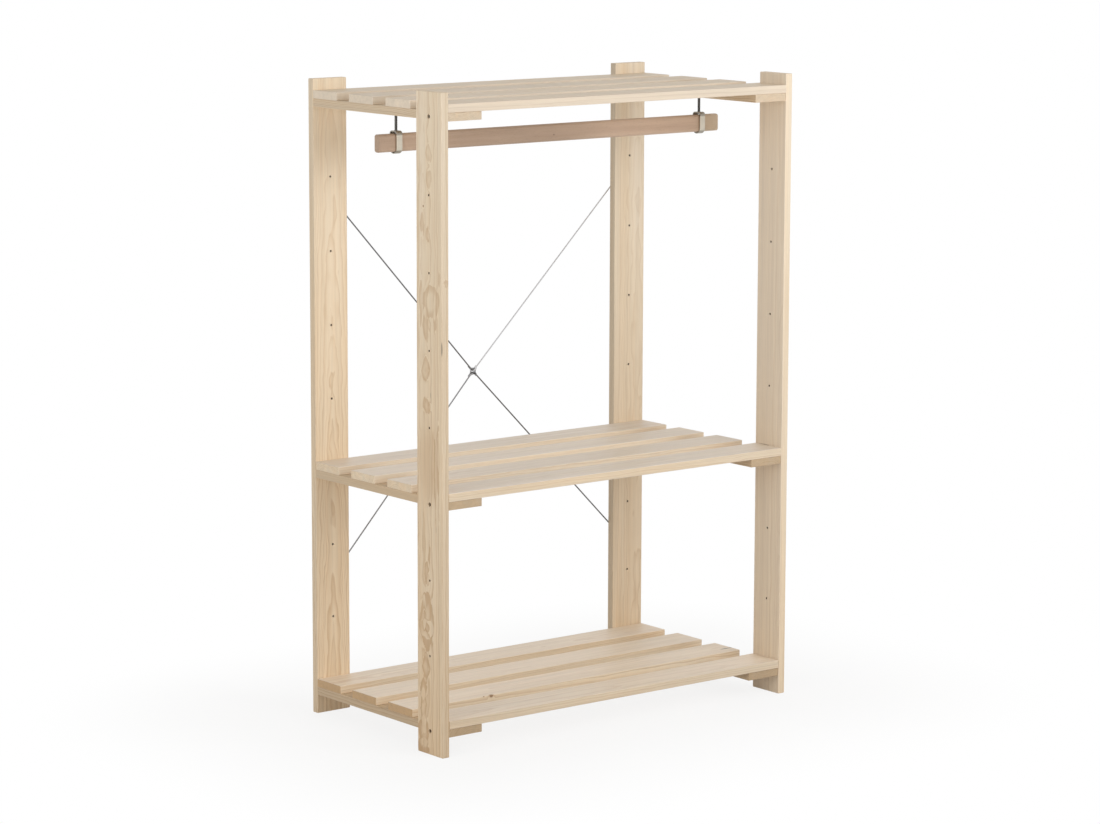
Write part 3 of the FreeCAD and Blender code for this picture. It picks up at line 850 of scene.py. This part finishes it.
class WARDROBE_OT_hangers(bpy.types.Operator):
    """Cut the hangers' threaded rods, and dress their loops, nuts and washers"""

    bl_idname = "wardrobe.hangers"
    bl_label = "Hangers"

    # How far the sides of a loop stay straight from the middle of the rail, in metres
    loop_straight = 0.018

    # Sides of the turned rod, and steps in each turn of its thread
    rod_sides = 32
    thread_steps = 20

    # Corners of the ridge's slice: a root sunk into the core, and shares of the pitch up the slice
    sunk_share = 0.96
    root_shares = (0.04, 0.96)
    crest_shares = (0.44, 0.56)

    def execute(self, context):
        look, rod = context.scene.wardrobe_look, context.scene.wardrobe_rod
        zinc = plated("hanger_zinc", look.zinc, 0.34)
        low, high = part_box("clothes_rail")
        # The loops get painted shade on their bends above and below the rail
        bend_shade = PaintedBendShade((low.z + high.z) / 2, self.loop_straight)
        loop_zinc = plated("loop_zinc", look.loop, 0.36, metal=0.55, bend_shade=bend_shade)
        for side in sides:
            dress(f"{side}_hanger_loop", loop_zinc)
            for piece in ("washer", "nut"):
                dress(f"{side}_hanger_{piece}", zinc)
            node = f"{side}_hanger_rod"
            steel = self.dark_steel(node, rod, look)
            stand_for(node, "threaded_" + node, self.threaded(node, rod), steel, "frame")
        return {"FINISHED"}

    def threaded(self, node, rod):
        """A rod with a neck and a head at its foot, and a ridge that winds up its core."""
        low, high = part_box(node)
        radius = rod.width / 2
        core, neck, head = radius * rod.core_share, radius * rod.neck_share, radius * rod.head_share
        head_top = rod.head_height
        shoulder = head_top + rod.neck_length
        tip = high.z - low.z
        ease = radius * rod.ease_share
        shape = bmesh.new()
        lathe(shape, ((0.0, 0.0), (neck, 0.0), (head, head_top / 2), (head, head_top), (neck, head_top),
                      (neck, shoulder), (radius, shoulder), (radius, shoulder + ease),
                      (core, shoulder + 2 * ease), (core, tip - ease), (core - ease, tip), (0.0, tip)),
              self.rod_sides)
        self.wind_ridge(shape, core, radius, shoulder + ease, tip - ease, rod.pitch)
        bmesh.ops.translate(shape, vec=((low.x + high.x) / 2, (low.y + high.y) / 2, low.z), verts=shape.verts)
        return shape

    def wind_ridge(self, shape, core, radius, foot, top, pitch):
        """Wind one slice of thread up round the core, from foot to below top, and close its two ends."""
        turns = int((top - foot) / pitch) - 1
        root = core * self.sunk_share
        (root_low, root_high), (crest_low, crest_high) = self.root_shares, self.crest_shares
        line = ((root, root_low), (radius, crest_low), (radius, crest_high), (root, root_high))
        corners = [shape.verts.new((out, 0.0, foot + up * pitch)) for out, up in line]
        edges = [shape.edges.new(pair) for pair in zip(corners, corners[1:] + corners[:1])]
        climb = (0.0, 0.0, pitch / self.thread_steps)
        last = bend(shape, corners + edges, (0, 0, 0), (0, 0, 1), math.tau * turns, turns * self.thread_steps,
                    climb)
        for end in (edges, only(bmesh.types.BMEdge, last)):
            bmesh.ops.contextual_create(shape, geom=end)

    def dark_steel(self, node, rod, look):
        """Dark steel with grease in the roots of its thread."""
        low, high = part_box(node)
        middle = (low + high) / 2
        radius = rod.width / 2
        paint = Paint(node + "_steel")
        x, y, z = paint.place()
        crest = distance(x - middle.x, y - middle.y).rise(radius * rod.core_share, radius)
        grease = paint.noise(paint.vector(x, y, z), (160.0, 160.0, 160.0), (2.0, 6.0, 1.0), 2.0)
        colour = paint.shade(tuple(look.rod), crest * 0.7 + grease * 0.5 + 0.65)
        return paint.finish({"Base Color": colour, "Roughness": grease * 0.3 + 0.42, "Metallic": 0.9},
                            {"Height": grease, "Strength": 0.2, "Distance": 0.0003})


class WARDROBE_OT_brace(bpy.types.Operator):
    """Bend the four wires and the ring of the cross brace, and dress its screws and washers"""

    bl_idname = "wardrobe.brace"
    bl_label = "Cross brace"

    # Painted highlights: how bright each wire and the ring are painted, as shares of the wire's colour, for
    # the light that each reflects
    wire_painted_highlights = {("upper", "left"): 1.0, ("lower", "right"): 1.0, ("lower", "left"): 1.6,
                   ("upper", "right"): 3.2}
    ring_painted_highlight = 1.7

    # Sides of the wire, and steps along its bends
    wire_sides = 16
    neck_steps = 6
    post_eye_steps = 28
    ring_eye_steps = 26
    tail_steps = 3
    ring_steps = 48

    # How far a stem turns aside before an eye, and how far the eyes go round
    turn_in = math.radians(60)
    post_turn = math.radians(290)
    ring_turn = math.radians(240)

    # Easing of the wire's cut ends as shares of its radius
    post_ease_share = 0.3
    tail_ease_share = 0.4

    def execute(self, context):
        look, brace = context.scene.wardrobe_look, context.scene.wardrobe_brace
        low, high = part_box("brace_ring")
        middle = (low + high) / 2
        low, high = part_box("brace_washers")
        inset = brace.post_eye + brace.wire / 2
        across = {"left": low.x + inset, "right": high.x - inset}
        heights = {"lower": low.z + inset, "upper": high.z - inset}
        for (level, side), painted_highlight in self.wire_painted_highlights.items():
            node = f"{level}_{side}_brace_wire"
            corner = Vector((across[side], middle.y, heights[level]))
            wire, steel = self.bent_wire(brace, corner, middle), self.steel(node, look, painted_highlight)
            stand_for(node, "bent_" + node, wire, steel, "frame")
        ring, steel = self.ring(brace, middle), self.steel("brace_ring", look, self.ring_painted_highlight)
        stand_for("brace_ring", "bent_brace_ring", ring, steel, "frame")
        zinc = plated("brace_zinc", look.zinc, 0.34)
        for node in ("brace_screws", "brace_washers"):
            dress(node, zinc)
        return {"FINISHED"}

    def steel(self, node, look, painted_highlight):
        return plated(node + "_steel", [level * painted_highlight for level in look.wire], 0.26, mottling=0.3)

    def bent_wire(self, brace, corner, middle):
        """A wire from a post's screw to the ring, drawn up +Z from the screw, with a bent eye at each end."""
        radius, post_eye, ring_eye = brace.wire / 2, brace.post_eye, brace.ring_eye
        side_x, side_y, up = Vector((1, 0, 0)), Vector((0, 1, 0)), Vector((0, 0, 1))
        shape = bmesh.new()
        bmesh.ops.create_circle(shape, cap_ends=False, segments=self.wire_sides, radius=radius)
        rim = list(shape.verts) + list(shape.edges)
        stem_low = up * (2 * post_eye * math.sin(self.turn_in))
        bmesh.ops.translate(shape, vec=stem_low, verts=shape.verts)

        # The eye round the screw lies flat on the post
        end = bend(shape, rim, stem_low - side_y * post_eye, side_x, -self.turn_in, self.neck_steps)
        end = bend(shape, end, Vector(), side_x, self.post_turn, self.post_eye_steps)
        cut_off(shape, end, radius * self.post_ease_share)

        # The eye through the ring stands square to it, and its tail lies back along the stem
        gap = brace.wire + brace.ring_play - ring_eye
        eye = up * ((middle - corner).length - brace.ring + gap)
        stem_high = eye - up * (2 * ring_eye * math.sin(self.turn_in))
        end = draw_out(shape, rim, stem_high - stem_low)
        end = bend(shape, end, stem_high - side_x * ring_eye, side_y, -self.turn_in, self.neck_steps)
        lean = math.acos((brace.tail_reach / ring_eye + 1) / 2)
        end = bend(shape, end, eye, side_y, self.ring_turn + lean, self.ring_eye_steps)
        over = (side_x * math.cos(lean) - up * math.sin(lean)) * (2 * ring_eye)
        end = bend(shape, end, eye + over, side_y, -lean, self.tail_steps)
        end = draw_out(shape, end, up * -brace.tail)
        cut_off(shape, end, radius * self.tail_ease_share)

        # Lay the wire from its screw towards the ring, with its own X axis to the back
        along = (middle - corner).normalized()
        turn = Matrix((side_y, along.cross(side_y), along)).transposed().to_4x4()
        bmesh.ops.transform(shape, matrix=Matrix.Translation(corner) @ turn, verts=shape.verts)
        return shape

    def ring(self, brace, middle):
        """The closed ring that the four eyes hang in."""
        shape = bmesh.new()
        bmesh.ops.create_circle(shape, cap_ends=False, segments=self.wire_sides, radius=brace.wire / 2)
        bmesh.ops.translate(shape, vec=(brace.ring, 0, 0), verts=shape.verts)
        bmesh.ops.spin(shape, geom=list(shape.verts) + list(shape.edges), cent=(0, 0, 0), axis=(0, 1, 0),
                       angle=math.tau, steps=self.ring_steps, use_merge=True)
        bmesh.ops.translate(shape, vec=middle, verts=shape.verts)
        return shape


class WARDROBE_OT_screws(bpy.types.Operator):
    """Dress the screws that hold posts, battens and slats together"""

    bl_idname = "wardrobe.screws"
    bl_label = "Screws"

    def execute(self, context):
        look = context.scene.wardrobe_look
        dark = plated("shelf_screw_steel", look.screw, 0.42)
        for end in ("front", "back"):
            for side in sides:
                dress(f"{end}_{side}_shelf_screws", dark)
        zinc = plated("slat_screw_zinc", look.zinc, 0.36)
        for shelf in shelf_figures:
            dress(f"{shelf}_shelf_slat_screws", zinc)
        return {"FINISHED"}


class WARDROBE_OT_stage(bpy.types.Operator):
    """Lay the floor, set the light and stand the camera at the photograph's viewing angle"""

    bl_idname = "wardrobe.stage"
    bl_label = "Stage"

    white = (1.0, 1.0, 1.0, 1.0)
    sensor_width = 36.0

    def execute(self, context):
        scene, stage = context.scene, context.scene.wardrobe_stage
        scene.view_settings.view_transform = "Standard"
        self.lay_floor(scene, stage)
        self.light_world(scene, stage)
        self.hang_lamp(scene, "front_lamp", stage.key, stage.key_colour, stage.key_place, False)
        self.hang_lamp(scene, "left_lamp", stage.side, stage.side_colour, stage.side_place, True)
        self.hang_lamp(scene, "back_lamp", stage.back, stage.key_colour, stage.back_place, False)
        self.stand_camera(scene, stage)
        return {"FINISHED"}

    def seen(self, nodes):
        """1 for rays that show the background: from the camera, in gloss and through glass."""
        rays = [nodes.node("ShaderNodeLightPath", {}, {}, ray)
                for ray in ("Is Camera Ray", "Is Glossy Ray", "Is Transmission Ray")]
        return nodes.maths("MINIMUM", rays[0] + rays[1] + rays[2], 1.0)

    def lay_floor(self, scene, stage):
        """A square floor that shows white, apart from some of its light and shade round the wardrobe."""
        mesh = bpy.data.meshes.new("floor")
        shape = bmesh.new()
        bmesh.ops.create_grid(shape, x_segments=1, y_segments=1, size=stage.floor_size / 2)
        shape.to_mesh(mesh)
        shape.free()
        mesh.materials.append(self.floor_paint(stage))
        floor = bpy.data.objects.new("floor", mesh)
        scene.collection.objects.link(floor)

    def floor_paint(self, stage):
        paint = Paint("floor_paint")
        x, y, _ = paint.place()
        _, high = cad_box
        beside = paint.maths("MAXIMUM", abs(x) - high[0], 0.0)
        beyond = paint.maths("MAXIMUM", abs(y) - high[1], 0.0)
        apart = distance(beside, beyond).rise(0.0, stage.shadow_reach)
        bright = (apart * stage.shadow_share + (1.0 - stage.shadow_share)) * self.seen(paint)
        glow = paint.node("ShaderNodeEmission", {}, {"Color": self.white, "Strength": 1.0})
        own = Value(paint, paint.shader.outputs[0])
        both = paint.node("ShaderNodeMixShader", {}, {0: bright, 1: own, 2: glow})
        paint.fill(paint.tree.nodes["Material Output"], {"Surface": both})
        colour = rgba(stage.floor_colour)
        return paint.finish({"Base Color": colour, "Roughness": 0.9, "Specular IOR Level": 0.0})

    def light_world(self, scene, stage):
        """Even light all round, and white where the world itself is seen."""
        world = bpy.data.worlds.new("studio")
        world.use_nodes = True
        scene.world = world
        nodes = Nodes(world.node_tree)
        strength = self.seen(nodes) * (1.0 - stage.sky) + stage.sky
        nodes.fill(nodes.tree.nodes["Background"], {"Color": self.white, "Strength": strength})

    def hang_lamp(self, scene, name, energy, colour, place, glossy):
        """A round soft lamp that faces the middle of the wardrobe. Only a glossy one shows in the steel."""
        stage = scene.wardrobe_stage
        lamp = bpy.data.lights.new(name, "AREA")
        lamp.energy = energy
        lamp.color = colour
        lamp.shape = "DISK"
        lamp.size = stage.lamp_size
        hung = bpy.data.objects.new(name, lamp)
        hung.location = place
        ahead = Vector(stage.lamp_aim) - Vector(place)
        hung.rotation_euler = ahead.to_track_quat("-Z", "Y").to_euler()
        hung.visible_camera = False
        hung.visible_glossy = glossy
        scene.collection.objects.link(hung)

    def stand_camera(self, scene, stage):
        level = Vector((math.cos(stage.heading), -math.sin(stage.heading), 0.0))
        ahead = Vector((math.sin(stage.heading) * math.cos(stage.pitch),
                        math.cos(stage.heading) * math.cos(stage.pitch), math.sin(stage.pitch)))
        above = level.cross(ahead)
        right = level * math.cos(stage.roll) + above * math.sin(stage.roll)
        up = above * math.cos(stage.roll) - level * math.sin(stage.roll)
        camera = bpy.data.cameras.new("camera")
        camera.sensor_width = self.sensor_width
        camera.lens = stage.lens
        stand = bpy.data.objects.new("camera", camera)
        turn = Matrix((right, up, -ahead)).transposed().to_4x4()
        stand.matrix_world = Matrix.Translation(stage.eye) @ turn
        scene.collection.objects.link(stand)
        scene.camera = stand


operators = (WARDROBE_OT_posts, WARDROBE_OT_shelves, WARDROBE_OT_rail, WARDROBE_OT_hangers, WARDROBE_OT_brace,
             WARDROBE_OT_screws, WARDROBE_OT_stage)


class WARDROBE_PT_panel(bpy.types.Panel):
    """The pieces of the wardrobe, in the order in which they are dressed"""

    bl_idname = "WARDROBE_PT_panel"
    bl_label = "Open frame wardrobe"
    bl_space_type = "VIEW_3D"
    bl_region_type = "UI"
    bl_category = "Wardrobe"

    def draw(self, context):
        for operator in operators:
            self.layout.operator(operator.bl_idname)


classes = (WardrobeLook, WardrobeRod, WardrobeBrace, WardrobeStage, *operators, WARDROBE_PT_panel)


def register():
    for item in classes:
        bpy.utils.register_class(item)
    bpy.types.Scene.wardrobe_look = bpy.props.PointerProperty(type=WardrobeLook)
    bpy.types.Scene.wardrobe_rod = bpy.props.PointerProperty(type=WardrobeRod)
    bpy.types.Scene.wardrobe_brace = bpy.props.PointerProperty(type=WardrobeBrace)
    bpy.types.Scene.wardrobe_stage = bpy.props.PointerProperty(type=WardrobeStage)


def unregister():
    del bpy.types.Scene.wardrobe_stage
    del bpy.types.Scene.wardrobe_brace
    del bpy.types.Scene.wardrobe_rod
    del bpy.types.Scene.wardrobe_look
    for item in reversed(classes):
        bpy.utils.unregister_class(item)


def main():
    """Dress every piece and set the stage."""
    register()
    bpy.ops.wardrobe.posts()
    bpy.ops.wardrobe.shelves()
    bpy.ops.wardrobe.rail()
    bpy.ops.wardrobe.hangers()
    bpy.ops.wardrobe.brace()
    bpy.ops.wardrobe.screws()
    bpy.ops.wardrobe.stage()


if __name__ == "__main__":
    main()
